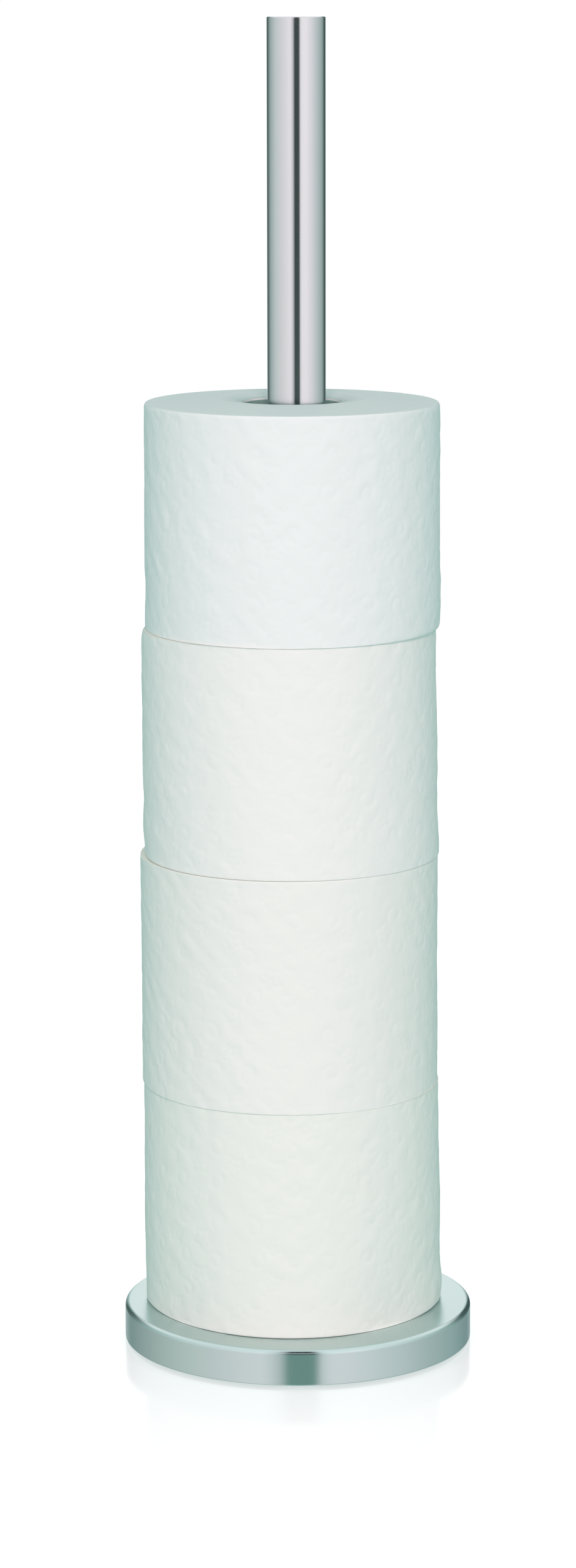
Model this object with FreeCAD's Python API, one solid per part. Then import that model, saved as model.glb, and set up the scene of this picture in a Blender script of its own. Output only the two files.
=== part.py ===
import FreeCAD, Part
import math
import os

# A free-standing holder for spare tissue rolls: a weighted round steel base, a steel post screwed to it from
# below, and four rolls stacked over the post. Millimetres. Z is up, the floor is Z = 0, and the post stands
# on the Z axis. Each piece is written to parts/NODE.step.

Vector = FreeCAD.Vector
UP = Vector(0, 0, 1)

# --- Base -------------------------------------------------------------------------------------------------
BASE_RADIUS = 76.5
BASE_TOP_Z = 16.8
COVER_SHEET = 0.8  # deep-drawn stainless sheet
COVER_EDGE_ROUND = 2.0  # outside radius between the top and the wall
COVER_HEM_ROUND = 0.25
COVER_FLOOR_GAP = 1.0  # the wall ends this far above the floor

PAD_RADIUS = 72.5
PAD_THICKNESS = 2.0
PAD_HOLE_RADIUS = 15.0  # access to the screw
PAD_EDGE_ROUND = 0.4

WEIGHT_SIDE_GAP = 0.2  # between the weight and the inside of the cover's wall
WEIGHT_EDGE_ROUND = 1.4
COUNTERBORE_RADIUS = 11.0
COUNTERBORE_DEPTH = 10.5

# --- Post -------------------------------------------------------------------------------------------------
TUBE_RADIUS = 12.5
TUBE_WALL = 1.0
POST_TOP_Z = 577.0
TUBE_TOP_CHAMFER = 0.4
TUBE_FOOT_CHAMFER = 0.2
CAP_THICKNESS = 3.0
CAP_CHAMFER = 0.15  # leaves a hairline groove around the flush cap
PLUG_LENGTH = 20.0
PLUG_CHAMFER = 0.8
THREAD_MOUTH_CHAMFER = 0.6

# --- M8 fastening -----------------------------------------------------------------------------------------
SCREW_RADIUS = 4.0
SCREW_LENGTH = 25.0
SCREW_END_CHAMFER = 0.8
HEAD_ACROSS_FLATS = 13.0
HEAD_HEIGHT = 5.3
HEAD_CHAMFER = 0.7
CLEARANCE_HOLE_RADIUS = 4.5
FLAT_WASHER = {"outer": 8.0, "inner": 4.2, "thickness": 1.6}
SPRING_WASHER = {"outer": 7.4, "inner": 4.05, "thickness": 2.0}
SPRING_SPLIT = 1.4
SPRING_SPLIT_SLANT = 20.0  # degrees from upright

# --- Rolls, from the base upwards -------------------------------------------------------------------------
# Each roll stands a little off the post's axis, because its bore is much wider than the post.
ROLLS = (
    {"height": 100.3, "radius": 65.15, "x": -2.4, "y": 2.8},
    {"height": 101.2, "radius": 64.8, "x": -3.3, "y": 0.5},
    {"height": 99.1, "radius": 64.0, "x": -3.1, "y": 0.0},
    {"height": 97.1, "radius": 63.7, "x": -1.9, "y": 0.0},
)
ROLL_GAP = 0.1  # air left between two stacked rolls, and under the lowest
ROLL_EDGE_ROUND = 1.0
CORE_BORE_RADIUS = 20.0
CORE_WALL = 1.2
CORE_RECESS = 0.4  # the core stops short of the tissue at both ends
CORE_FIT = 0.05  # radial running fit between a core and its tissue


def rounded_outline(corners):
    """A closed wire in the XZ plane through (radius, height, round) corners, with an arc at each round."""
    points = [Vector(radius, 0, height) for radius, height, _ in corners]
    ends = []
    arcs = []
    for i, (_, _, rounding) in enumerate(corners):
        corner = points[i]
        if not rounding:
            ends.append((corner, corner))
            arcs.append(None)
            continue
        back = (points[i - 1] - corner).normalize()
        ahead = (points[(i + 1) % len(points)] - corner).normalize()
        half_turn = back.getAngle(ahead) / 2
        middle_line = (back + ahead).normalize()
        start = corner + back * (rounding / math.tan(half_turn))
        end = corner + ahead * (rounding / math.tan(half_turn))
        middle = corner + middle_line * (rounding / math.sin(half_turn) - rounding)
        ends.append((start, end))
        arcs.append(Part.Arc(start, middle, end).toShape())
    edges = []
    for i, arc in enumerate(arcs):
        if arc:
            edges.append(arc)
        following = ends[(i + 1) % len(ends)][0]
        edges.append(Part.makeLine(ends[i][1], following))
    return Part.Wire(edges)


def turned(corners, x=0.0, y=0.0):
    """The solid that the outline sweeps when it turns once about the upright axis through (x, y)."""
    solid = Part.Face(rounded_outline(corners)).revolve(Vector(0, 0, 0), UP, 360)
    solid.translate(Vector(x, y, 0))
    return solid


def ring(inner, outer, low, high):
    """A plain washer-shaped solid."""
    return turned([(inner, low, 0), (outer, low, 0), (outer, high, 0), (inner, high, 0)])


def make_anti_slip_pad():
    """A soft disc glued under the weight, the only piece that touches the floor."""
    return turned(
        [
            (PAD_HOLE_RADIUS, 0, PAD_EDGE_ROUND),
            (PAD_RADIUS, 0, PAD_EDGE_ROUND),
            (PAD_RADIUS, PAD_THICKNESS, 0),
            (PAD_HOLE_RADIUS, PAD_THICKNESS, 0),
        ]
    )


def make_base_cover():
    """The drawn steel cap over the weight, holed in the middle for the screw."""
    inside = BASE_RADIUS - COVER_SHEET
    underside = BASE_TOP_Z - COVER_SHEET
    return turned(
        [
            (CLEARANCE_HOLE_RADIUS, underside, 0),
            (inside, underside, COVER_EDGE_ROUND - COVER_SHEET),
            (inside, COVER_FLOOR_GAP, COVER_HEM_ROUND),
            (BASE_RADIUS, COVER_FLOOR_GAP, COVER_HEM_ROUND),
            (BASE_RADIUS, BASE_TOP_Z, COVER_EDGE_ROUND),
            (CLEARANCE_HOLE_RADIUS, BASE_TOP_Z, 0),
        ]
    )


def make_base_weight():
    """The iron disc that keeps the stand upright, counterbored from below for the screw's head."""
    radius = BASE_RADIUS - COVER_SHEET - WEIGHT_SIDE_GAP
    seat = PAD_THICKNESS + COUNTERBORE_DEPTH
    return turned(
        [
            (COUNTERBORE_RADIUS, PAD_THICKNESS, 0),
            (radius, PAD_THICKNESS, WEIGHT_EDGE_ROUND),
            (radius, BASE_TOP_Z - COVER_SHEET, WEIGHT_EDGE_ROUND),
            (CLEARANCE_HOLE_RADIUS, BASE_TOP_Z - COVER_SHEET, 0),
            (CLEARANCE_HOLE_RADIUS, seat, 0),
            (COUNTERBORE_RADIUS, seat, 0),
        ]
    )


def make_flat_washer():
    """The plain washer against the counterbore's floor."""
    high = PAD_THICKNESS + COUNTERBORE_DEPTH
    return ring(FLAT_WASHER["inner"], FLAT_WASHER["outer"], high - FLAT_WASHER["thickness"], high)


def make_spring_washer():
    """The split washer under the screw's head, closed flat by the tightened screw."""
    high = PAD_THICKNESS + COUNTERBORE_DEPTH - FLAT_WASHER["thickness"]
    low = high - SPRING_WASHER["thickness"]
    washer = ring(SPRING_WASHER["inner"], SPRING_WASHER["outer"], low, high)
    tool_height = 4 * SPRING_WASHER["thickness"]
    split = Part.makeBox(
        SPRING_WASHER["outer"],
        SPRING_SPLIT,
        tool_height,
        Vector(0, -SPRING_SPLIT / 2, -tool_height / 2),
    )
    split.rotate(Vector(0, 0, 0), Vector(1, 0, 0), SPRING_SPLIT_SLANT)
    split.translate(Vector(0, 0, (low + high) / 2))
    return washer.cut(split)


def screw_head_top():
    """The height of the face that bears on the spring washer."""
    return PAD_THICKNESS + COUNTERBORE_DEPTH - FLAT_WASHER["thickness"] - SPRING_WASHER["thickness"]


def make_clamp_screw():
    """The hexagon-head M8 screw, driven upwards; its thread is drawn as a plain rod."""
    head_top = screw_head_top()
    head_low = head_top - HEAD_HEIGHT
    corner_radius = HEAD_ACROSS_FLATS / 2 / math.cos(math.pi / 6)
    corners = []
    for side in range(7):
        angle = side * math.pi / 3
        corners.append(Vector(corner_radius * math.cos(angle), corner_radius * math.sin(angle), head_low))
    prism = Part.Face(Part.makePolygon(corners)).extrude(UP * HEAD_HEIGHT)
    crown = turned(
        [
            (0, head_low, 0),
            (HEAD_ACROSS_FLATS / 2, head_low, 0),
            (corner_radius + HEAD_CHAMFER, head_low + HEAD_CHAMFER, 0),
            (corner_radius + HEAD_CHAMFER, head_top, 0),
            (0, head_top, 0),
        ]
    )
    tip = head_top + SCREW_LENGTH
    shank = turned(
        [
            (0, head_top - 1, 0),
            (SCREW_RADIUS, head_top - 1, 0),
            (SCREW_RADIUS, tip - SCREW_END_CHAMFER, 0),
            (SCREW_RADIUS - SCREW_END_CHAMFER, tip, 0),
            (0, tip, 0),
        ]
    )
    return prism.common(crown).fuse(shank)


def make_post_tube():
    """The round steel tube, standing on the cover."""
    bore = TUBE_RADIUS - TUBE_WALL
    return turned(
        [
            (bore, BASE_TOP_Z, 0),
            (TUBE_RADIUS - TUBE_FOOT_CHAMFER, BASE_TOP_Z, 0),
            (TUBE_RADIUS, BASE_TOP_Z + TUBE_FOOT_CHAMFER, 0),
            (TUBE_RADIUS, POST_TOP_Z - TUBE_TOP_CHAMFER, 0),
            (TUBE_RADIUS - TUBE_TOP_CHAMFER, POST_TOP_Z, 0),
            (bore, POST_TOP_Z, 0),
        ]
    )


def make_post_foot_plug():
    """The tapped plug pressed into the tube's lower end."""
    outside = TUBE_RADIUS - TUBE_WALL
    top = BASE_TOP_Z + PLUG_LENGTH
    return turned(
        [
            (SCREW_RADIUS + THREAD_MOUTH_CHAMFER, BASE_TOP_Z, 0),
            (outside, BASE_TOP_Z, 0),
            (outside, top - PLUG_CHAMFER, 0),
            (outside - PLUG_CHAMFER, top, 0),
            (SCREW_RADIUS, top, 0),
            (SCREW_RADIUS, BASE_TOP_Z + THREAD_MOUTH_CHAMFER, 0),
        ]
    )


def make_post_top_cap():
    """The disc that closes the tube, flush with its end."""
    outside = TUBE_RADIUS - TUBE_WALL
    return turned(
        [
            (0, POST_TOP_Z - CAP_THICKNESS, 0),
            (outside, POST_TOP_Z - CAP_THICKNESS, 0),
            (outside, POST_TOP_Z - CAP_CHAMFER, 0),
            (outside - CAP_CHAMFER, POST_TOP_Z, 0),
            (0, POST_TOP_Z, 0),
        ]
    )


def make_tissue(roll, low):
    """The wound tissue of one roll, a soft-edged ring that stands at the height low."""
    inner = CORE_BORE_RADIUS + CORE_WALL + CORE_FIT
    base = low + ROLL_GAP
    top = low + roll["height"]
    return turned(
        [
            (inner, base, 0),
            (roll["radius"], base, ROLL_EDGE_ROUND),
            (roll["radius"], top, ROLL_EDGE_ROUND),
            (inner, top, 0),
        ],
        roll["x"],
        roll["y"],
    )


def make_core(roll, low):
    """The cardboard tube inside one roll."""
    outer = CORE_BORE_RADIUS + CORE_WALL
    base = low + ROLL_GAP + CORE_RECESS
    top = low + roll["height"] - CORE_RECESS
    core = ring(CORE_BORE_RADIUS, outer, base, top)
    core.translate(Vector(roll["x"], roll["y"], 0))
    return core


def make_parts():
    """Every piece by its node's name."""
    parts = {
        "anti_slip_pad": make_anti_slip_pad(),
        "base_cover": make_base_cover(),
        "base_weight": make_base_weight(),
        "flat_washer": make_flat_washer(),
        "spring_washer": make_spring_washer(),
        "clamp_screw": make_clamp_screw(),
        "post_tube": make_post_tube(),
        "post_foot_plug": make_post_foot_plug(),
        "post_top_cap": make_post_top_cap(),
    }
    low = BASE_TOP_Z
    for number, roll in enumerate(ROLLS, start=1):
        parts[f"roll_core_{number}"] = make_core(roll, low)
        parts[f"tissue_roll_{number}"] = make_tissue(roll, low)
        low += roll["height"]
    return parts


os.makedirs("parts", exist_ok=True)
for name, shape in make_parts().items():
    if not shape.isValid() or len(shape.Solids) != 1:
        raise ValueError(f"{name} is not one valid solid")
    shape.Solids[0].exportStep(f"parts/{name}.step")
    box = shape.BoundBox
    print(f"{name}: {shape.Volume / 1000:.2f} cm3, Z {box.ZMin:.2f} to {box.ZMax:.2f}")
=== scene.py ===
import math

import bmesh
import bpy
import numpy as np
from mathutils import Matrix, Vector


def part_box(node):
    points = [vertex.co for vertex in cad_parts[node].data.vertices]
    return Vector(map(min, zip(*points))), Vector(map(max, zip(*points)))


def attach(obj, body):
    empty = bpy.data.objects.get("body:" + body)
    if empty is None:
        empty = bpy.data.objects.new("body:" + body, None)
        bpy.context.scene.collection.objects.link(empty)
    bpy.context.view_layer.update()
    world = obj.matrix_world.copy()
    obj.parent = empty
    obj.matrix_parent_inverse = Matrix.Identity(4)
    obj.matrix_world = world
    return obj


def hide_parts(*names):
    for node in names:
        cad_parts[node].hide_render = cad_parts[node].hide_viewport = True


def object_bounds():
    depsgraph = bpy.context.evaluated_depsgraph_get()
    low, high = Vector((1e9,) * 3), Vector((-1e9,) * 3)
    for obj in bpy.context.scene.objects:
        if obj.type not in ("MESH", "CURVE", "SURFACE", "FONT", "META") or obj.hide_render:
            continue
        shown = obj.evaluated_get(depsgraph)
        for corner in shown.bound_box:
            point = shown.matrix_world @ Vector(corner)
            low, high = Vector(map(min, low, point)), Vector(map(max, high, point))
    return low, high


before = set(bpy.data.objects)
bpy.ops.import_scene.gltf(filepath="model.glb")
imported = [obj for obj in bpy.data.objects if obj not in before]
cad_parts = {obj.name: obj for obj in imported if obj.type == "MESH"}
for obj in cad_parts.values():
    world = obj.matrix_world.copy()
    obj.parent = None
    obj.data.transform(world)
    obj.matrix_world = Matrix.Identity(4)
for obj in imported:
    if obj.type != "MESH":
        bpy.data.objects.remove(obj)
cad_low, cad_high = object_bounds()

MM = 0.001
TURN = 2 * math.pi
ROLL_COUNT = 4

# --- Camera -----------------------------------------------------------------------------------------------
CAMERA_PLACE = Vector((-3.95, -1885.0, 594.5)) * MM
CAMERA_DOWN = 0.1815  # radians below the horizon
CAMERA_ROLL = -0.0018
CAMERA_LENS = 101.32
CAMERA_SENSOR = 36.0
CAMERA_SEES_TO = 100.0

# --- Light ------------------------------------------------------------------------------------------------
AMBIENT = (0.335, 0.52, 0.492)
KEY_COLOUR = (1.0, 0.728, 0.775)
KEY_POWER = 160.0
KEY_SIZE = 2.4
KEY_DISTANCE = 5.0
FRONT_KEY_ELEVATION = math.radians(23)
BACK_KEY_ELEVATION = math.radians(1)
STUDIO_GAIN = 1.12
FLOOR_RADIUS = 2.0
FLOOR_GAP = 0.05 * MM  # keeps the sheet just clear of the pad
FLOOR_GLOSS = 0.23  # beside the base; it fades away further out
FLOOR_GLOSS_ENDS = 0.20
FLOOR_ROUGHNESS = 0.14
FLOOR_WHITE = (1.035, 1.045, 1.05)
FLOOR_SHADE = (0.81, 0.92, 0.90)
FLOOR_SHADE_REACH = 0.008
# What the metal mirrors, by bearing: degrees to the right of straight in front, to straight behind.
# "low" is the light of the sheet around the base, "high" the studio about level with the camera, and
# "above" the ceiling.
STUDIO_BANDS = {
    "low": (
        (-180, (0.53, 0.61, 0.61)),
        (-150, (0.255, 0.345, 0.345)),
        (-108, (0.50, 0.53, 0.52)),
        (-83, (0.615, 0.64, 0.62)),
        (-36, (0.84, 0.77, 0.80)),
        (0, (0.87, 0.80, 0.83)),
        (30, (0.86, 0.78, 0.82)),
        (48, (0.755, 0.735, 0.755)),
        (77, (0.635, 0.65, 0.67)),
        (100, (0.50, 0.55, 0.55)),
        (130, (0.36, 0.46, 0.47)),
        (155, (0.235, 0.335, 0.335)),
        (180, (0.53, 0.61, 0.61)),
    ),
    "high": (
        (-180, (1.06, 1.04, 1.05)),
        (-175, (0.85, 0.92, 0.92)),
        (-168, (0.42, 0.54, 0.53)),
        (-156, (0.07, 0.11, 0.10)),
        (-143, (0.11, 0.16, 0.155)),
        (-120, (0.39, 0.51, 0.50)),
        (-86, (0.69, 0.77, 0.77)),
        (-58, (0.84, 0.86, 0.88)),
        (-26, (1.02, 1.00, 1.05)),
        (22, (1.04, 1.05, 1.08)),
        (40, (1.09, 1.05, 1.10)),
        (61, (0.89, 0.91, 0.94)),
        (88, (0.63, 0.71, 0.72)),
        (120, (0.37, 0.49, 0.47)),
        (140, (0.09, 0.14, 0.13)),
        (163, (0.04, 0.07, 0.07)),
        (170, (0.42, 0.54, 0.53)),
        (175, (0.85, 0.92, 0.92)),
        (180, (1.06, 1.04, 1.05)),
    ),
    "above": (
        (-180, (1.07, 1.03, 1.04)),
        (-110, (0.88, 0.94, 0.95)),
        (-50, (0.95, 0.97, 1.00)),
        (0, (1.00, 1.00, 1.04)),
        (50, (0.95, 0.97, 1.00)),
        (110, (0.88, 0.94, 0.95)),
        (180, (1.07, 1.03, 1.04)),
    ),
}
LOW_IS_FULL = math.radians(-15)
HIGH_IS_FULL = math.radians(-8), math.radians(22)
ABOVE_IS_FULL = math.radians(34)
# The dark gap between the lamps, black high up and paler on the sheet. Across it each stop is (degrees,
# share of light), and up it (degrees of elevation, share of the gap).
SLIT_COLOUR = {"high": (0.0, 0.006, 0.008), "low": (0.265, 0.425, 0.385)}
SLIT_OPENING = (
    (-24, 1.0), (-18, 0.86), (-12.5, 0.61), (-9.5, 0.36), (-7.5, 0.12), (-5.5, 0.0),
    (10, 0.0), (12.3, 0.2), (14.2, 0.52), (16, 0.78), (21, 0.97), (25, 1.0),
)
SLIT_HEIGHTS = ((-90, 1.0), (10, 1.0), (13, 0.0), (20, 0.0), (23, 1.0), (60, 1.0), (70, 0.0))

# --- Steel ------------------------------------------------------------------------------------------------
POST_STEEL = (0.66, 0.655, 0.66)
POST_ROUGHNESS = 0.14
POST_LINE_PITCH = 0.16 * MM
# The cover's steel is tinted teal and less red than the post's: a painted cast of the cool light it mirrors.
COVER_STEEL_WITH_PAINTED_TINT = (0.555, 0.67, 0.65)
COVER_ROUGHNESS = 0.17
COVER_LINE_PITCH = 0.22 * MM
SCREW_HOLE_RADIUS = 4.5 * MM
PAD_HOLE_RADIUS = 15.0 * MM

# --- Rolls, from the base upwards -------------------------------------------------------------------------
# lean: how far the roll's top stands to the right of its foot, and behind it.
# cone: how much wider its top is, in radius.
# tail: where the last sheet ends, in degrees from +X towards +Y, so that 90 is straight behind.
# crown: how far the middle of its top stands above the rim, except where it sinks in beside the bore.
# swells: where its side stands out or, below zero, is pressed in; each is
# (direction in degrees, height above the foot, spread up and down, how far out).
# top_edge and foot_edge: the edge's rounding all round, then where it is softer; each softer place is
# (direction in degrees, spread in degrees, extra rounding inwards, extra rounding along the roll).
ROLLS = (
    {
        "lean": (-0.9, -3.4), "cone": -0.6, "tail": 75, "crown": 0.0,
        "tint": (0.96, 0.955, 0.912),
        "top_edge": (0.015, 0.02, ((185, 20, 0.4, 0.8), (60, 40, 0.5, 1.1))),
        "foot_edge": (0.45, 0.75, ((-144, 20, 0.8, 1.3), (-46, 22, 1.0, 1.6), (80, 60, 0.4, 0.9))),
        "swells": (
            (-3, 8, 7, 0.9), (-3, 46, 14, 0.5), (100, 60, 20, -0.5), (-141, 0, 26, -1.5), (-48, 0, 26, -2.3),
        ),
    },
    {
        "lean": (-0.15, 0.0), "cone": 0.1, "tail": 130, "crown": 0.0,
        "tint": (0.962, 0.948, 0.917),
        "top_edge": (0.12, 0.22, ((-92, 28, 0.12, 0.2), (30, 40, 0.4, 1.0))),
        "foot_edge": (0.015, 0.02, ((192, 14, 0.3, 0.5), (100, 45, 0.6, 1.4))),
        "swells": ((20, 30, 15, 0.4), (120, 75, 18, -0.5)),
    },
    {
        "lean": (-1.1, 0.0), "cone": -0.9, "tail": 160, "crown": 0.0,
        "tint": (0.962, 0.95, 0.93),
        "top_edge": (0.03, 0.05, ((178, 24, 2.0, 6.5), (-48, 14, 0.15, 0.25), (70, 40, 0.4, 1.0))),
        "foot_edge": (0.12, 0.25, ((-92, 28, 0.2, 0.35), (10, 25, 0.5, 1.2), (178, 22, 0.9, 2.2))),
        "swells": (
            (180, 24, 7, -0.55), (180, 3, 6, -0.9), (0, 96, 9, 0.5), (0, 24, 10, -0.45), (60, 50, 16, 0.4),
        ),
    },
    {
        "lean": (0.0, 0.0), "cone": -0.5, "tail": 40, "crown": 2.2,
        "tint": (0.935, 0.945, 0.94),
        "top_edge": (0.60, 1.00, ((-5, 35, 0.3, 1.6), (185, 35, 0.3, 1.6), (90, 50, 0.3, 0.6))),
        "foot_edge": (0.03, 0.05, ((-2, 22, 1.6, 2.8), (-46, 16, 0.5, 0.5), (150, 40, 0.4, 1.0))),
        "swells": ((180, 18, 7, -0.45), (-2, 16, 12, 0.35), (80, 40, 18, -0.4)),
    },
)
FIRST_SEED = 40
SWELL_SPREAD = 22  # degrees round the roll
CROWN_SINKS = 4.5 * MM
CROWN_SINK_SHARE = 0.85
CORE_FIT = 0.05 * MM  # between a core and its tissue
CORE_WALL = 1.2 * MM
CORE_EDGE_ROUND = 0.25 * MM
ROLL_REACH = 0.045 * MM  # each end's fibres close most of the gap to the next roll
MATED_END_PAINTED_GLOW = (0.93, 0.90, 0.84)  # ends that face another roll: a painted warm glow for the only light they get, through the tissue
SIDE_STEP = 0.9 * MM
END_STEP = 1.3 * MM
EDGE_STEPS = 6
PLY = 0.32 * MM
TAIL_LIFT = 0.35 * MM
TAIL_REACH = 7 * MM
NEAR_BORE = 3 * MM  # relief fades out over this far from the bore
NEAR_RIM = 3 * MM
EMBOSS_DEPTH = 0.22 * MM
EMBOSS_CELL = 17.0 * MM
WRINKLE = 0.12 * MM
SAG = 0.2 * MM


# --- Node helpers -----------------------------------------------------------------------------------------
def add_node(tree, kind, inputs=None, **settings):
    """A new node with its settings made and each named input linked or set."""
    made = tree.nodes.new(kind)
    for name, value in settings.items():
        setattr(made, name, value)
    for name, value in (inputs or {}).items():
        if isinstance(value, bpy.types.NodeSocket):
            tree.links.new(value, made.inputs[name])
        else:
            made.inputs[name].default_value = value
    return made


def calc(tree, operation, *values):
    """The result of one Math node."""
    inputs = dict(enumerate(values))
    return add_node(tree, "ShaderNodeMath", inputs, operation=operation).outputs[0]


def ramp(tree, factor, stops):
    """A colour ramp's colour at factor; stops are (position, colour or grey)."""
    made = add_node(tree, "ShaderNodeValToRGB", {"Fac": factor})
    elements = made.color_ramp.elements
    while len(elements) < len(stops):
        elements.new(0.5)
    for element, (position, colour) in zip(elements, stops):
        element.position = position
        rgb = colour if hasattr(colour, "__len__") else (colour,) * 3
        element.color = (*rgb, 1)
    return made.outputs["Color"]


def mix_colour(tree, factor, a, b):
    """Colour a where factor is 0 and b where it is 1."""
    made = add_node(tree, "ShaderNodeMix", data_type="RGBA")
    for index, value in ((0, factor), (6, a), (7, b)):
        if isinstance(value, bpy.types.NodeSocket):
            tree.links.new(value, made.inputs[index])
        elif index:
            made.inputs[index].default_value = (*value, 1)
        else:
            made.inputs[index].default_value = value
    return made.outputs[2]


def object_place(tree, scale=(1, 1, 1)):
    """The point on the surface in the piece's own coordinates, in metres, stretched by scale."""
    place = add_node(tree, "ShaderNodeTexCoord").outputs["Object"]
    return add_node(tree, "ShaderNodeMapping", {"Vector": place, "Scale": scale}).outputs["Vector"]


def ring_place(tree, centre=(0, 0)):
    """(distance from the upright axis through centre, angle about it, height), each a socket."""
    place = add_node(tree, "ShaderNodeTexCoord").outputs["Object"]
    parts = add_node(tree, "ShaderNodeSeparateXYZ", {"Vector": place}).outputs
    x = calc(tree, "SUBTRACT", parts["X"], centre[0])
    y = calc(tree, "SUBTRACT", parts["Y"], centre[1])
    squares = calc(tree, "ADD", calc(tree, "MULTIPLY", x, x), calc(tree, "MULTIPLY", y, y))
    return calc(tree, "SQRT", squares), calc(tree, "ARCTAN2", y, x), parts["Z"]


def noise(tree, place, scale, detail=3.0, roughness=0.5):
    """A noise value from 0 to 1."""
    inputs = {"Vector": place, "Scale": scale, "Detail": detail, "Roughness": roughness}
    return add_node(tree, "ShaderNodeTexNoise", inputs).outputs["Fac"]


def new_material(name):
    """A material with an empty Principled shader: (material, tree, shader)."""
    material = bpy.data.materials.new(name)
    material.use_nodes = True
    tree = material.node_tree
    return material, tree, tree.nodes["Principled BSDF"]


def connect(tree, shader, **sockets):
    """Links sockets to the shader's inputs; an underscore stands for a space in a name."""
    for name, socket in sockets.items():
        tree.links.new(socket, shader.inputs[name.replace("_", " ")])


def bump(tree, height, strength, distance):
    """A bump normal from a height from 0 to 1."""
    inputs = {"Height": height, "Strength": strength, "Distance": distance}
    return add_node(tree, "ShaderNodeBump", inputs).outputs["Normal"]


# --- Materials --------------------------------------------------------------------------------------------
def turned_steel(name, colour, roughness, line_pitch):
    """Satin stainless with fine grinding lines that run round the upright axis."""
    material, tree, shader = new_material(name)
    radius, angle, height = ring_place(tree)
    along = calc(tree, "ADD", radius, height)
    sweep = add_node(
        tree,
        "ShaderNodeCombineXYZ",
        {"X": calc(tree, "DIVIDE", along, line_pitch), "Y": calc(tree, "MULTIPLY", angle, 1.6)},
    ).outputs["Vector"]
    lines = noise(tree, sweep, 1.0, detail=4.0, roughness=0.65)
    smudge = noise(tree, object_place(tree), 45.0, detail=2.0)
    shade = calc(tree, "ADD", calc(tree, "MULTIPLY", lines, 0.7), calc(tree, "MULTIPLY", smudge, 0.3))
    darker = tuple(channel * 0.98 for channel in colour)
    lighter = tuple(channel * 1.02 for channel in colour)
    connect(
        tree,
        shader,
        Base_Color=ramp(tree, shade, ((0.3, darker), (0.7, lighter))),
        Roughness=ramp(tree, shade, ((0.25, roughness * 1.06), (0.75, roughness * 0.94))),
        Normal=bump(tree, lines, 0.03, 0.01 * MM),
        Tangent=add_node(tree, "ShaderNodeTangent", direction_type="RADIAL", axis="Z").outputs[0],
    )
    shader.inputs["Metallic"].default_value = 1.0
    shader.inputs["Anisotropic"].default_value = 1.0
    shader.inputs["Anisotropic Rotation"].default_value = 0.25
    return material


def plated_steel():
    """Bright zinc plating, slightly mottled."""
    material, tree, shader = new_material("zinc_plated_steel")
    mottle = noise(tree, object_place(tree), 900.0, detail=4.0)
    connect(
        tree,
        shader,
        Base_Color=ramp(tree, mottle, ((0.3, (0.55, 0.57, 0.6)), (0.7, (0.74, 0.74, 0.72)))),
        Roughness=ramp(tree, mottle, ((0.3, 0.24), (0.7, 0.42))),
    )
    shader.inputs["Metallic"].default_value = 1.0
    return material


def cast_iron():
    """Black enamel over a sand-cast surface."""
    material, tree, shader = new_material("enamelled_iron")
    place = object_place(tree)
    grain = noise(tree, place, 1400.0, detail=5.0, roughness=0.7)
    patch = noise(tree, place, 60.0, detail=2.0)
    connect(
        tree,
        shader,
        Base_Color=ramp(tree, patch, ((0.3, (0.018, 0.018, 0.02)), (0.7, (0.04, 0.04, 0.042)))),
        Roughness=ramp(tree, grain, ((0.3, 0.5), (0.7, 0.75))),
        Normal=bump(tree, grain, 0.5, 0.15 * MM),
    )
    return material


def foam_rubber():
    """Closed-cell foam: dark, matt and finely pitted."""
    material, tree, shader = new_material("foam_rubber")
    place = object_place(tree)
    cells = add_node(tree, "ShaderNodeTexVoronoi", {"Vector": place, "Scale": 1100.0}).outputs["Distance"]
    patch = noise(tree, place, 90.0, detail=3.0)
    connect(
        tree,
        shader,
        Base_Color=ramp(tree, patch, ((0.3, (0.02, 0.02, 0.022)), (0.7, (0.042, 0.042, 0.045)))),
        Roughness=ramp(tree, cells, ((0.0, 0.98), (0.6, 0.82))),
        Normal=bump(tree, cells, 0.6, 0.2 * MM),
    )
    return material


def core_board(name, centre):
    """Board wound in a spiral strip, darkened and tinted grey-green to paint the shade inside the bore, with
    a fine seam line between its turns.
    """
    material, tree, shader = new_material(name)
    radius, angle, height = ring_place(tree, centre)
    strip = calc(tree, "ADD", calc(tree, "DIVIDE", height, 62 * MM), calc(tree, "DIVIDE", angle, TURN))
    seam = calc(tree, "ABSOLUTE", calc(tree, "SUBTRACT", calc(tree, "FRACT", strip), 0.5))
    fibre = noise(tree, object_place(tree, (1, 1, 0.35)), 700.0, detail=5.0, roughness=0.7)
    # The board's colour is darkened and tinted teal: painted shade inside the bore.
    board_and_painted_shade = ramp(tree, fibre, ((0.25, (0.23, 0.365, 0.34)), (0.75, (0.30, 0.45, 0.415))))
    line = ramp(tree, seam, ((0.0, 0.7), (0.012, 1.0)))
    connect(
        tree,
        shader,
        Base_Color=add_node(
            tree, "ShaderNodeMix", {6: board_and_painted_shade, 7: line, 0: 1.0}, data_type="RGBA", blend_type="MULTIPLY"
        ).outputs[2],
        Roughness=ramp(tree, fibre, ((0.2, 0.97), (0.8, 0.86))),
        Normal=bump(tree, fibre, 0.25, 0.08 * MM),
    )
    return material


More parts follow.
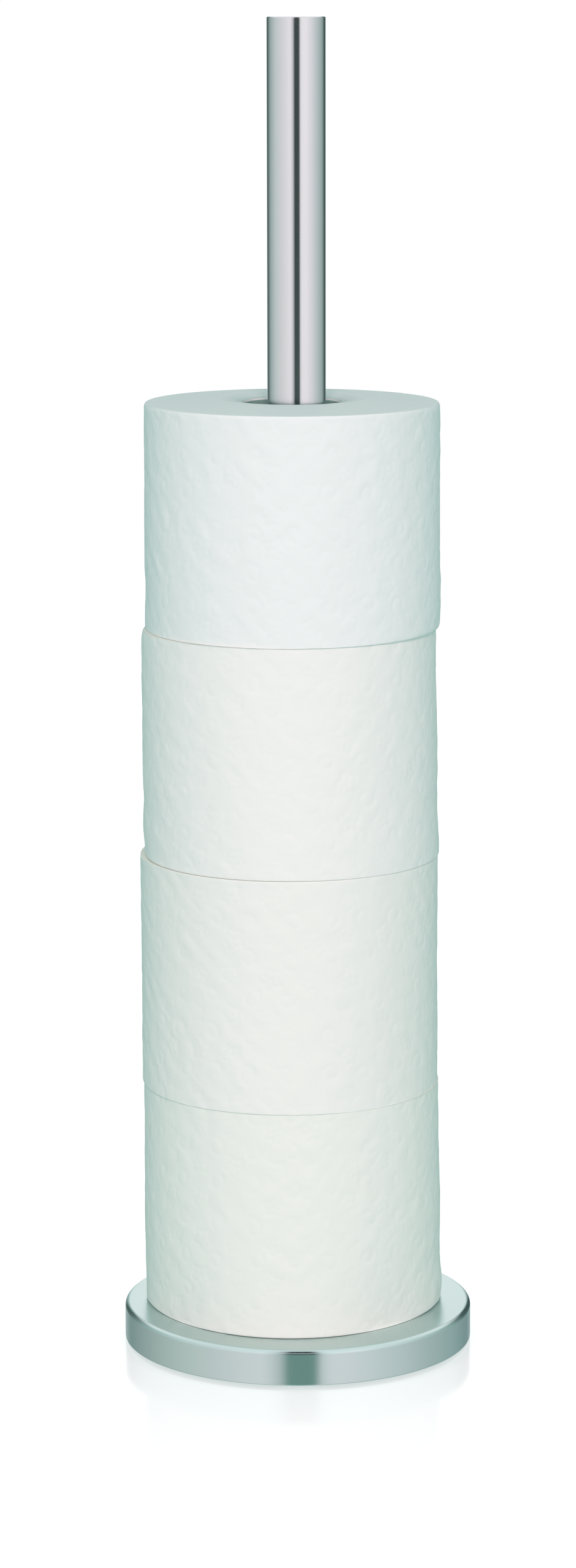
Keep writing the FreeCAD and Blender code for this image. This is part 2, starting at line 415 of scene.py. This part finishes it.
def tissue_side(name, tint):
    """Creped tissue: white, matt and softly fibrous, with a little painted shade inside the embossing."""
    material, tree, shader = new_material(name)
    place = object_place(tree)
    fibre = noise(tree, object_place(tree, (1, 1, 2.6)), 1500.0, detail=4.0, roughness=0.7)
    cloud = noise(tree, place, 120.0, detail=3.0)
    pressed = add_node(tree, "ShaderNodeAttribute", attribute_name="pressed").outputs["Fac"]
    light = mix_colour(tree, cloud, tuple(0.985 * channel for channel in tint), tint)
    # Painted shade: slightly darker and cooler where the embossing is pressed in.
    emboss_painted_shade = tuple(channel * factor for channel, factor in zip(tint, (0.985, 0.99, 0.99)))
    height = calc(tree, "ADD", calc(tree, "MULTIPLY", fibre, 0.7), calc(tree, "MULTIPLY", cloud, 0.3))
    connect(
        tree,
        shader,
        Base_Color=mix_colour(tree, pressed, light, emboss_painted_shade),
        Roughness=ramp(tree, fibre, ((0.2, 1.0), (0.8, 0.9))),
        Normal=bump(tree, height, 0.22, 0.12 * MM),
    )
    shader.inputs["Specular IOR Level"].default_value = 0.15
    return material


def tissue_end(name, tint, centre, bore):
    """The cut end of a roll: hundreds of sheet edges wound round the core, with painted shade beside it."""
    material, tree, shader = new_material(name)
    radius, angle, _ = ring_place(tree, centre)
    wander = noise(tree, object_place(tree), 70.0, detail=3.0)
    turns = calc(tree, "ADD", calc(tree, "DIVIDE", radius, 0.55 * MM), calc(tree, "DIVIDE", angle, TURN))
    turns = calc(tree, "ADD", turns, calc(tree, "MULTIPLY", wander, 2.4))
    wave = calc(tree, "ABSOLUTE", calc(tree, "SUBTRACT", calc(tree, "FRACT", turns), 0.5))
    fibre = noise(tree, object_place(tree), 1700.0, detail=4.0, roughness=0.7)
    edge = calc(tree, "ADD", calc(tree, "MULTIPLY", wave, 1.2), calc(tree, "MULTIPLY", fibre, 0.4))
    shadow = tuple(channel * factor for channel, factor in zip(tint, (0.86, 0.885, 0.885)))
    sheets = ramp(tree, edge, ((0.15, shadow), (0.65, tuple(0.97 * channel for channel in tint))))
    # Painted shade: the end darkens and cools towards the bore.
    from_bore = calc(tree, "DIVIDE", calc(tree, "SUBTRACT", radius, bore), 10 * MM)
    painted_bore_shade = ramp(tree, from_bore, ((0.0, (0.66, 0.77, 0.75)), (0.35, (0.86, 0.92, 0.91)), (1.0, (1, 1, 1))))
    connect(
        tree,
        shader,
        Base_Color=add_node(
            tree, "ShaderNodeMix", {6: sheets, 7: painted_bore_shade, 0: 1.0}, data_type="RGBA", blend_type="MULTIPLY"
        ).outputs[2],
        Roughness=ramp(tree, fibre, ((0.2, 1.0), (0.8, 0.92))),
        Normal=bump(tree, edge, 0.35, 0.12 * MM),
    )
    shader.inputs["Specular IOR Level"].default_value = 0.1
    return material


# --- Mesh helpers -----------------------------------------------------------------------------------------
STRAIGHT = 0.25 * MM
WELD = 0.001 * MM


def fillet(points, steps=6):
    """The outline through (radius, height, rounding) points with each rounding made of short chords.

    A short straight stretch beside each rounding keeps the shading of long faces flat."""
    outline = []
    for i, (radius, height, rounding) in enumerate(points):
        corner = Vector((radius, height))
        if not rounding:
            outline.append(corner)
            continue
        back = Vector(points[i - 1][:2]) - corner
        ahead = Vector(points[(i + 1) % len(points)][:2]) - corner
        room = back.length, ahead.length
        back, ahead = back.normalized(), ahead.normalized()
        half = back.angle(ahead) / 2
        reach = rounding / math.tan(half)
        centre = corner + (back + ahead).normalized() * (rounding / math.sin(half))
        start = corner + back * reach - centre
        end = corner + ahead * reach - centre
        if room[0] > reach + 4 * STRAIGHT:
            outline.append(corner + back * (reach + STRAIGHT))
        for step in range(steps + 1):
            outline.append(centre + start.slerp(end, step / steps) * rounding)
        if room[1] > reach + 4 * STRAIGHT:
            outline.append(corner + ahead * (reach + STRAIGHT))
    return outline


def finish_mesh(name, mesh, materials, body, nodes, sharp=math.radians(32)):
    """An object of the mesh, smooth except at sharp edges, riding on its body in place of CAD nodes."""
    edit = bmesh.new()
    edit.from_mesh(mesh)
    bmesh.ops.remove_doubles(edit, verts=edit.verts, dist=WELD)
    bmesh.ops.recalc_face_normals(edit, faces=edit.faces)
    for face in edit.faces:
        face.smooth = True
    for edge in edit.edges:
        if len(edge.link_faces) == 2 and edge.calc_face_angle(0) > sharp:
            edge.smooth = False
    edit.to_mesh(mesh)
    edit.free()
    piece = bpy.data.objects.new(name, mesh)
    bpy.context.scene.collection.objects.link(piece)
    for material in materials:
        mesh.materials.append(material)
    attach(piece, body)
    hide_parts(*nodes)
    return piece


def turned_mesh(name, outline, segments, centre=(0, 0)):
    """The outline turned once about the upright axis through centre, as quads."""
    rows = len(outline)
    vertices = []
    for i in range(segments):
        angle = TURN * i / segments
        for radius, height in outline:
            vertices.append(
                (centre[0] + radius * math.cos(angle), centre[1] + radius * math.sin(angle), height)
            )
    faces = []
    for i in range(segments):
        for j in range(rows):
            a = i * rows + j
            b = i * rows + (j + 1) % rows
            c = (i + 1) % segments * rows + (j + 1) % rows
            d = (i + 1) % segments * rows + j
            faces.append((a, b, c, d))
    mesh = bpy.data.meshes.new(name)
    mesh.from_pydata(vertices, [], faces)
    return mesh


def solid_ends(mesh):
    """Removes the faces with no area that a turned outline leaves on the axis itself."""
    edit = bmesh.new()
    edit.from_mesh(mesh)
    bmesh.ops.remove_doubles(edit, verts=edit.verts, dist=WELD)
    bmesh.ops.dissolve_degenerate(edit, edges=edit.edges, dist=WELD / 2)
    edit.to_mesh(mesh)
    edit.free()
    return mesh


def node_size(node):
    """(radius, low, high, x, y) of an upright round CAD node."""
    low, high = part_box(node)
    return (high.x - low.x) / 2, low.z, high.z, (low.x + high.x) / 2, (low.y + high.y) / 2


# --- Stand ------------------------------------------------------------------------------------------------
def make_post():
    """The tube and its flush cap."""
    steel = turned_steel("post_steel", POST_STEEL, POST_ROUGHNESS, POST_LINE_PITCH)
    radius, low, high, _, _ = node_size("post_tube")
    bore = node_size("post_top_cap")[0]
    outline = fillet(
        [
            (bore, low, 0),
            (radius, low, 0.2 * MM),
            (radius, high, 0.5 * MM),
            (bore + 0.05 * MM, high, 0.1 * MM),
            (bore, high - 0.3 * MM, 0),
        ]
    )
    finish_mesh("post_tube_shell", turned_mesh("post_tube_shell", outline, 160), [steel], "stand",
                ["post_tube"])
    cap_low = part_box("post_top_cap")[0].z
    outline = fillet(
        [(0, cap_low, 0), (bore, cap_low, 0), (bore - 0.04 * MM, high, 0.16 * MM), (0, high, 0)]
    )
    cap = solid_ends(turned_mesh("post_cap_disc", outline, 120))
    finish_mesh("post_cap_disc", cap, [steel], "stand", ["post_top_cap"])


def make_base():
    """The drawn cover and the foam pad."""
    steel = turned_steel("cover_steel", COVER_STEEL_WITH_PAINTED_TINT, COVER_ROUGHNESS, COVER_LINE_PITCH)
    radius, low, high, _, _ = node_size("base_cover")
    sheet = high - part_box("base_weight")[1].z
    outline = fillet(
        [
            (SCREW_HOLE_RADIUS, high - sheet, 0),
            (radius - sheet, high - sheet, 1.2 * MM),
            (radius - sheet, low, 0.2 * MM),
            (radius, low, 0.55 * MM),
            (radius, high, 2.0 * MM),
            (SCREW_HOLE_RADIUS, high, 0),
        ],
        steps=8,
    )
    finish_mesh("base_cover_shell", turned_mesh("base_cover_shell", outline, 288), [steel], "stand",
                ["base_cover"])
    radius, low, high, _, _ = node_size("anti_slip_pad")
    outline = fillet(
        [
            (PAD_HOLE_RADIUS, low, 0.4 * MM),
            (radius, low, 0.4 * MM),
            (radius, high, 0),
            (PAD_HOLE_RADIUS, high, 0),
        ]
    )
    finish_mesh("foam_pad", turned_mesh("foam_pad", outline, 192), [foam_rubber()], "stand",
                ["anti_slip_pad"])


def paint_hidden_pieces():
    """Materials for the CAD pieces that keep their own meshes."""
    plated = plated_steel()
    iron = cast_iron()
    kept = {
        "clamp_screw": plated,
        "flat_washer": plated,
        "spring_washer": plated,
        "post_foot_plug": plated,
        "base_weight": iron,
    }
    for node, material in kept.items():
        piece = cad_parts[node]
        piece.data.materials.clear()
        piece.data.materials.append(material)


# --- Rolls ------------------------------------------------------------------------------------------------
def smooth_noise(random, across, up, wave, height, count=26):
    """A soft random field from -1 to 1 that closes on itself round the roll.

    across is the angle, up the height above the foot, wave the shortest wavelength and height the roll's."""
    total = np.zeros(np.broadcast(across, up).shape)
    most_round = max(2, int(TURN * 64 * MM / wave))
    most_up = max(1.0, height / wave)
    for _ in range(count):
        turns = random.integers(0, most_round + 1)
        rise = random.uniform(-most_up, most_up)
        total = total + np.cos(turns * across + TURN * rise * up / height + random.uniform(0, TURN))
    return total / math.sqrt(count) / 1.5


def emboss(random, across, up, radius, height):
    """How deep the embossing presses, from 0 to 1: rings of petals and curls in staggered rows."""
    columns = round(TURN * radius / EMBOSS_CELL)
    rows = max(2, round(height / EMBOSS_CELL))
    pitch_x = TURN * radius / columns
    pitch_y = height / rows
    spin = random.uniform(0, TURN, (rows + 2, columns, 2))
    size = random.uniform(0.85, 1.15, (rows + 2, columns, 2))
    shift = random.uniform(-0.08, 0.08, (rows + 2, columns, 2, 2))
    total = np.zeros(np.broadcast(across, up).shape)
    for kind in (0, 1):
        x = across * radius / pitch_x + 0.5 * kind
        y = up / pitch_y + 0.5 * kind
        row = np.floor(y).astype(int)
        column = np.floor(x).astype(int) % columns
        row = np.clip(row, 0, rows + 1)
        dx = (x - np.floor(x) - 0.5 + shift[row, column, kind, 0]) * pitch_x
        dy = (y - np.floor(y) - 0.5 + shift[row, column, kind, 1]) * pitch_y
        away = np.hypot(dx, dy)
        bearing = np.arctan2(dy, dx) + spin[row, column, kind]
        scale = size[row, column, kind]
        if kind == 0:
            petals = 3.7 * MM * scale * (1 + 0.27 * np.cos(5 * bearing))
            total += np.exp(-(((away - petals) / (0.75 * MM)) ** 2))
            total += 0.8 * np.exp(-((away / (1.1 * MM)) ** 2))
        else:
            turned = np.mod(bearing, TURN)
            curl = (1.2 * MM + 0.55 * MM * turned) * scale
            ends = np.clip(turned / 0.7, 0, 1) * np.clip((TURN - turned) / 0.9, 0, 1)
            total += ends * np.exp(-(((away - curl) / (0.75 * MM)) ** 2))
    return np.clip(total, 0, 1)


def edge_rounding(angle, edge):
    """How far an edge is rounded inwards and along the roll, in every direction round it."""
    inwards, along, softer = edge
    inwards, along = np.full(angle.shape, inwards), np.full(angle.shape, along)
    for direction, spread, more_inwards, more_along in softer:
        away = np.mod(np.degrees(angle) - direction + 180, 360) - 180
        share = np.exp(-0.5 * (away / spread) ** 2)
        inwards = inwards + more_inwards * share
        along = along + more_along * share
    return inwards * MM, along * MM


def roll_section(radius, bore, low, high, angle, look):
    """The closed outline of a roll in every direction, from the foot of its side upwards.

    Gives arrays of radius and height, and for each row how much it takes of the side's relief and of an
    end's, where 1 is the top end and -1 the foot."""
    top_in, top_along = edge_rounding(angle, look["top_edge"])
    foot_in, foot_along = edge_rounding(angle, look["foot_edge"])
    side_rows = round((high - low) / SIDE_STEP)
    end_rows = round((radius - bore) / END_STEP)
    corner = np.pi / 2 * np.arange(1, EDGE_STEPS + 1) / EDGE_STEPS
    share = np.arange(side_rows + 1) / side_rows
    side_z = (low + foot_along) * (1 - share) + (high - top_along) * share
    side_r = np.full(side_z.shape, radius)
    inwards = np.arange(1, end_rows + 1) / end_rows

    def edge_and_end(edge_in, edge_along, face, outward):
        edge_r = radius - edge_in * (1 - np.cos(corner))
        edge_z = face - outward * edge_along * (1 - np.sin(corner))
        end_r = (radius - edge_in) * (1 - inwards) + bore * inwards
        return np.hstack((edge_r, end_r)), np.hstack((edge_z, np.full(end_r.shape, face)))

    top_r, top_z = edge_and_end(top_in, top_along, high, 1)
    foot_r, foot_z = edge_and_end(foot_in, foot_along, low, -1)
    ends = np.hstack((np.sin(corner), np.ones(end_rows)))
    sides = np.hstack((np.cos(corner), np.zeros(end_rows)))
    r = np.hstack((side_r, top_r, foot_r[:, ::-1]))
    z = np.hstack((side_z, top_z, foot_z[:, ::-1]))
    side = np.hstack((np.ones(side_rows + 1), sides, sides[::-1]))
    end = np.hstack((np.zeros(side_rows + 1), ends, -ends[::-1]))
    return r, z, side[None, :], end[None, :]


def make_roll(number, look):
    """One roll's wound tissue, with its embossing, its soft edges and its last sheet's end."""
    random = np.random.default_rng(FIRST_SEED + number)
    node = f"tissue_roll_{number}"
    radius, low, high, axis_x, axis_y = node_size(node)
    bore = node_size(f"roll_core_{number}")[0] + CORE_FIT
    segments = round(TURN * radius / SIDE_STEP)
    angle = (TURN * np.arange(segments) / segments)[:, None]
    r, z, side, end = roll_section(radius, bore, low, high, angle, look)
    height = high - low
    up = z - low
    pressed = emboss(random, angle, up, radius, height)
    patchy = 0.75 + 0.25 * smooth_noise(random, angle, up, 22 * MM, height)
    wrinkles = smooth_noise(random, angle, up, 9 * MM, height) * WRINKLE
    sag = smooth_noise(random, angle, up, 70 * MM, height, count=9) * SAG
    since_tail = np.mod(angle - math.radians(look["tail"]), TURN) / TURN
    wound = -PLY * since_tail
    lift = TAIL_LIFT * np.clip(1 - since_tail * TURN * radius / TAIL_REACH, 0, 1) ** 2
    out = wound + lift + side * (wrinkles + sag - EMBOSS_DEPTH * pressed * patchy)
    out = out + side * look["cone"] * MM * (up / height - 0.5)
    for direction, middle, spread, amount in look["swells"]:
        away = (np.mod(np.degrees(angle) - direction + 180, 360) - 180) / SWELL_SPREAD
        out = out + side * amount * MM * np.exp(-(away**2) - ((up / MM - middle) / spread) ** 2)
    fade = np.clip((r - bore) / NEAR_BORE, 0, 1)
    reach = r + out * fade
    rings = np.sin(TURN * r / (2.3 * MM) + 2.5 * smooth_noise(random, angle, up * 0, 40 * MM, height))
    swell = smooth_noise(random, angle, r, 18 * MM, 60 * MM, count=14)
    at_rim = np.clip((r - radius) / NEAR_RIM + 1, 0, 1)
    rise = np.abs(end) * fade * (0.02 * MM * rings + 0.03 * MM * swell - 0.05 * MM) * (1 - at_rim)
    rise = rise + np.abs(end) * at_rim * ROLL_REACH
    sunken = CROWN_SINK_SHARE * np.exp(-(((r - bore) / CROWN_SINKS) ** 2))
    rise = rise + np.clip(end, 0, 1) * look["crown"] * MM * (1 - (r / radius) ** 2) * (1 - sunken)
    lean_x, lean_y = (amount * MM * (up / height - 0.5) * fade for amount in look["lean"])
    points = np.stack(
        (
            axis_x + lean_x + reach * np.cos(angle),
            axis_y + lean_y + reach * np.sin(angle),
            z + rise * np.sign(end),
        ),
        axis=-1,
    )
    rows = z.shape[1]
    first = (np.arange(segments) * rows)[:, None] + np.arange(rows)[None, :]
    following = np.roll(first, -1, axis=0)
    faces = np.stack((first, following, np.roll(following, -1, axis=1), np.roll(first, -1, axis=1)), axis=-1)
    mesh = bpy.data.meshes.new(node + "_sheets")
    mesh.from_pydata(points.reshape(-1, 3).tolist(), [], faces.reshape(-1, 4).tolist())
    tone = mesh.attributes.new("pressed", "FLOAT", "POINT")
    tone.data.foreach_set("value", (pressed * patchy * side).astype(np.float32).reshape(-1))
    top, foot = end[0] > 0.75, end[0] < -0.75
    face_kind = (top & np.roll(top, -1)) + 2 * (foot & np.roll(foot, -1))
    mesh.polygons.foreach_set("material_index", np.tile(face_kind.astype(np.int32), segments))
    # Mated ends take the painted warm glow instead of the roll's own tint.
    top_tint = look["tint"] if number == ROLL_COUNT else MATED_END_PAINTED_GLOW
    foot_tint = look["tint"] if number == 1 else MATED_END_PAINTED_GLOW
    materials = [
        tissue_side(f"tissue_side_{number}", look["tint"]),
        tissue_end(f"tissue_top_{number}", top_tint, (axis_x, axis_y), bore),
        tissue_end(f"tissue_foot_{number}", foot_tint, (axis_x, axis_y), bore),
    ]
    piece = finish_mesh(f"wound_tissue_{number}", mesh, materials, f"roll_{number}_tissue",
                        [node], sharp=math.radians(50))
    piece.visible_glossy = number < ROLL_COUNT  # the post mirrors the studio right down to the top roll


def make_core(number):
    """The cardboard tube inside a roll."""
    node = f"roll_core_{number}"
    radius, low, high, axis_x, axis_y = node_size(node)
    bore = radius - CORE_WALL
    outline = fillet(
        [
            (bore, low, CORE_EDGE_ROUND),
            (radius, low, CORE_EDGE_ROUND),
            (radius, high, CORE_EDGE_ROUND),
            (bore, high, CORE_EDGE_ROUND),
        ],
        steps=3,
    )
    mesh = turned_mesh(f"cardboard_core_{number}", outline, 128, (axis_x, axis_y))
    finish_mesh(f"cardboard_core_{number}", mesh, [core_board(f"core_board_{number}", (axis_x, axis_y))],
                f"roll_{number}_core", [node])


# --- Studio -----------------------------------------------------------------------------------------------
def make_world():
    """Plain white to the eye, an even cool light on matt surfaces, and a banded studio in the metal."""
    world = bpy.data.worlds.new("studio")
    bpy.context.scene.world = world
    world.use_nodes = True
    tree = world.node_tree
    tree.nodes.clear()
    direction = add_node(tree, "ShaderNodeTexCoord").outputs["Generated"]
    parts = add_node(tree, "ShaderNodeSeparateXYZ", {"Vector": direction}).outputs
    lowness, aboveness = (
        add_node(
            tree,
            "ShaderNodeMapRange",
            {"Value": parts["Z"], "From Min": math.sin(start), "From Max": math.sin(full)},
        ).outputs[0]
        for start, full in ((HIGH_IS_FULL[0], LOW_IS_FULL), (HIGH_IS_FULL[1], ABOVE_IS_FULL))
    )
    bearing = calc(tree, "ARCTAN2", parts["X"], calc(tree, "MULTIPLY", parts["Y"], -1.0))
    around = calc(tree, "ADD", calc(tree, "DIVIDE", bearing, TURN), 0.5)
    high, low, above = (
        ramp(tree, around, [(0.5 + degrees / 360, colour) for degrees, colour in STUDIO_BANDS[level]])
        for level in ("high", "low", "above")
    )
    bands = mix_colour(tree, aboveness, mix_colour(tree, lowness, high, low), above)
    open_sky = ramp(tree, around, [(0.5 + degrees / 360, share) for degrees, share in SLIT_OPENING])
    upward = calc(tree, "MULTIPLY_ADD", parts["Z"], 0.5, 0.5)
    heights = [(0.5 + 0.5 * math.sin(math.radians(degrees)), share) for degrees, share in SLIT_HEIGHTS]
    closed = calc(tree, "MULTIPLY", calc(tree, "SUBTRACT", 1.0, open_sky), ramp(tree, upward, heights))
    open_sky = calc(tree, "SUBTRACT", 1.0, closed)
    slit = mix_colour(tree, lowness, SLIT_COLOUR["high"], SLIT_COLOUR["low"])
    mirrored = mix_colour(tree, open_sky, slit, bands)
    path = add_node(tree, "ShaderNodeLightPath").outputs
    studio = add_node(tree, "ShaderNodeBackground", {"Color": mirrored, "Strength": STUDIO_GAIN})
    soft = add_node(tree, "ShaderNodeBackground", {"Color": (*AMBIENT, 1), "Strength": 1.0})
    white = add_node(tree, "ShaderNodeBackground", {"Color": (1, 1, 1, 1), "Strength": 1.0})
    lit = add_node(
        tree, "ShaderNodeMixShader", {0: path["Is Glossy Ray"], 1: soft.outputs[0], 2: studio.outputs[0]}
    )
    seen = add_node(
        tree, "ShaderNodeMixShader", {0: path["Is Camera Ray"], 1: lit.outputs[0], 2: white.outputs[0]}
    )
    add_node(tree, "ShaderNodeOutputWorld", {"Surface": seen.outputs[0]})


def make_key(name, side, elevation):
    """A broad lamp in front (side -1) or behind (side 1), unseen in the metal."""
    lamp = bpy.data.lights.new(name, "AREA")
    lamp.shape = "DISK"
    lamp.size = KEY_SIZE
    lamp.energy = KEY_POWER
    lamp.color = KEY_COLOUR
    holder = bpy.data.objects.new(name, lamp)
    bpy.context.scene.collection.objects.link(holder)
    middle = (cad_low + cad_high) / 2
    offset = Vector((0, side * math.cos(elevation), math.sin(elevation))) * KEY_DISTANCE
    holder.location = middle + offset
    holder.rotation_euler = (-offset).to_track_quat("-Z", "Y").to_euler()
    holder.visible_glossy = False


def make_floor():
    """A plain white sheet with a faint gloss and a soft shade at the base; it lights nothing itself."""
    mesh = bpy.data.meshes.new("floor")
    edit = bmesh.new()
    bmesh.ops.create_circle(edit, cap_ends=True, segments=96, radius=FLOOR_RADIUS)
    edit.to_mesh(mesh)
    edit.free()
    floor = bpy.data.objects.new("floor", mesh)
    bpy.context.scene.collection.objects.link(floor)
    floor.location.z = cad_low.z - FLOOR_GAP
    floor.visible_glossy = False
    floor.visible_diffuse = False
    material, tree, shader = new_material("floor_white")
    tree.nodes.remove(shader)
    openness = add_node(tree, "ShaderNodeAmbientOcclusion", {"Distance": FLOOR_SHADE_REACH}, samples=8)
    shade = mix_colour(tree, openness.outputs["AO"], FLOOR_SHADE, FLOOR_WHITE)
    sheet = add_node(tree, "ShaderNodeEmission", {"Color": shade, "Strength": 1.0})
    gloss = add_node(tree, "ShaderNodeBsdfGlossy", {"Color": (1, 1, 1, 1), "Roughness": FLOOR_ROUGHNESS})
    share = add_node(
        tree,
        "ShaderNodeMapRange",
        {
            "Value": ring_place(tree)[0],
            "From Min": cad_high.x,
            "From Max": FLOOR_GLOSS_ENDS,
            "To Min": FLOOR_GLOSS,
            "To Max": 0.0,
        },
    )
    mixed = add_node(
        tree, "ShaderNodeMixShader", {0: share.outputs[0], 1: sheet.outputs[0], 2: gloss.outputs[0]}
    )
    tree.links.new(mixed.outputs[0], tree.nodes["Material Output"].inputs["Surface"])
    mesh.materials.append(material)


def make_camera():
    """The camera of the front view, tipped down a little."""
    camera = bpy.data.cameras.new("camera")
    camera.lens = CAMERA_LENS
    camera.sensor_width = CAMERA_SENSOR
    camera.sensor_fit = "AUTO"
    camera.clip_end = CAMERA_SEES_TO
    holder = bpy.data.objects.new("camera", camera)
    bpy.context.scene.collection.objects.link(holder)
    holder.location = CAMERA_PLACE
    turn = Matrix.Rotation(math.pi / 2 - CAMERA_DOWN, 4, "X") @ Matrix.Rotation(CAMERA_ROLL, 4, "Z")
    holder.rotation_euler = turn.to_euler()
    bpy.context.scene.camera = holder


make_camera()
make_post()
make_base()
paint_hidden_pieces()
for count, roll_look in enumerate(ROLLS, start=1):
    make_core(count)
    make_roll(count, roll_look)
make_world()
make_key("key_front", -1, FRONT_KEY_ELEVATION)
make_key("key_back", 1, BACK_KEY_ELEVATION)
make_floor()
bpy.context.scene.view_settings.view_transform = "Standard"
